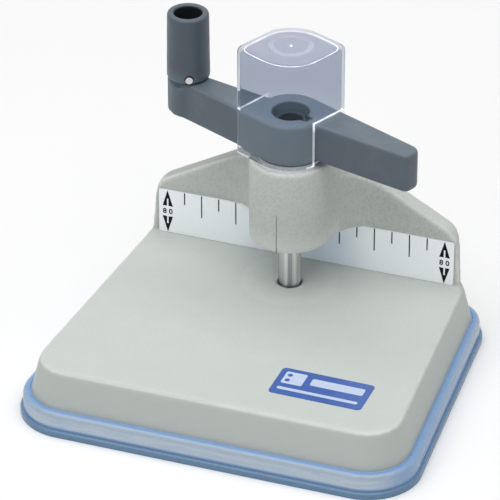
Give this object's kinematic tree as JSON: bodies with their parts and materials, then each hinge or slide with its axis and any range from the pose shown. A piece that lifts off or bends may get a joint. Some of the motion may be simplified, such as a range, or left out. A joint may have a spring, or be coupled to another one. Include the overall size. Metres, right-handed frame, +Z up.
{
  "type": "paper drill punch",
  "caption": "Hand-cranked one-hole paper drill: a tubular drill in a cast stand with a gauge plate, fed down by a two-armed handle under a clear chip cap.",
  "frame": {"origin": "middle of the rest face under the bottom cover", "axes": "+Z up along the drill's axis, +X to the right along the gauge plate, +Y to the back"},
  "size_m": [0.1108, 0.0928, 0.0894],
  "materials": {
    "casting_paint": "satin",
    "cover_plastic": "satin",
    "screw_steel": "satin",
    "plate_metal": "satin",
    "pad_plastic": "matte",
    "nut_brass": "satin",
    "black_steel": "satin",
    "drill_steel": "polished",
    "handle_plastic": "satin",
    "clear_plastic": "clear gloss"
  },
  "bodies": {
    "base": {"body_casting": "casting_paint", "bottom_cover": "cover_plastic", "cover_screw_1": "screw_steel", "cover_screw_2": "screw_steel", "cover_screw_3": "screw_steel", "cover_screw_4": "screw_steel", "gauge_plate": "plate_metal", "drill_pad": "pad_plastic", "pad_plate": "screw_steel", "pad_plate_screw_1": "screw_steel", "pad_plate_screw_2": "screw_steel", "feed_nut": "nut_brass", "nut_set_screw": "black_steel", "guide_bush": "nut_brass", "thrust_washer": "screw_steel"},
    "crank": {"handle": "handle_plastic", "drive_key": "black_steel", "hub_grub_screw": "black_steel", "knob_post": "screw_steel"},
    "knob": {"crank_knob": "handle_plastic", "knob_pin": "drill_steel"},
    "spindle": {"feed_screw": "drill_steel", "drill_tube": "drill_steel", "drill_set_screw": "black_steel"},
    "cap": {"chip_cap": "clear_plastic"}
  },
  "joints": [
    {"name": "handle_turn", "type": "hinge", "parent": "base", "child": "crank", "pos_m": [0, 0.0231, 0.0578], "axis": [0, 0, 1], "range_deg": [0, 1080]},
    {"name": "drill_feed", "type": "slide", "parent": "crank", "child": "spindle", "axis": [0, 0, 1], "range_m": [0, 0.0136]},
    {"name": "knob_spin", "type": "hinge", "parent": "crank", "child": "knob", "pos_m": [-0.03222, 0.03174, 0.07], "axis": [0, 0, 1], "continuous": true},
    {"name": "cap_lift", "type": "slide", "parent": "crank", "child": "cap", "axis": [0, 0, 1], "range_m": [0, 0.014]}
  ],
  "couplings": [
    {"joint": "drill_feed", "follows": "handle_turn", "m_per_rad": 0.000716}
  ]
}
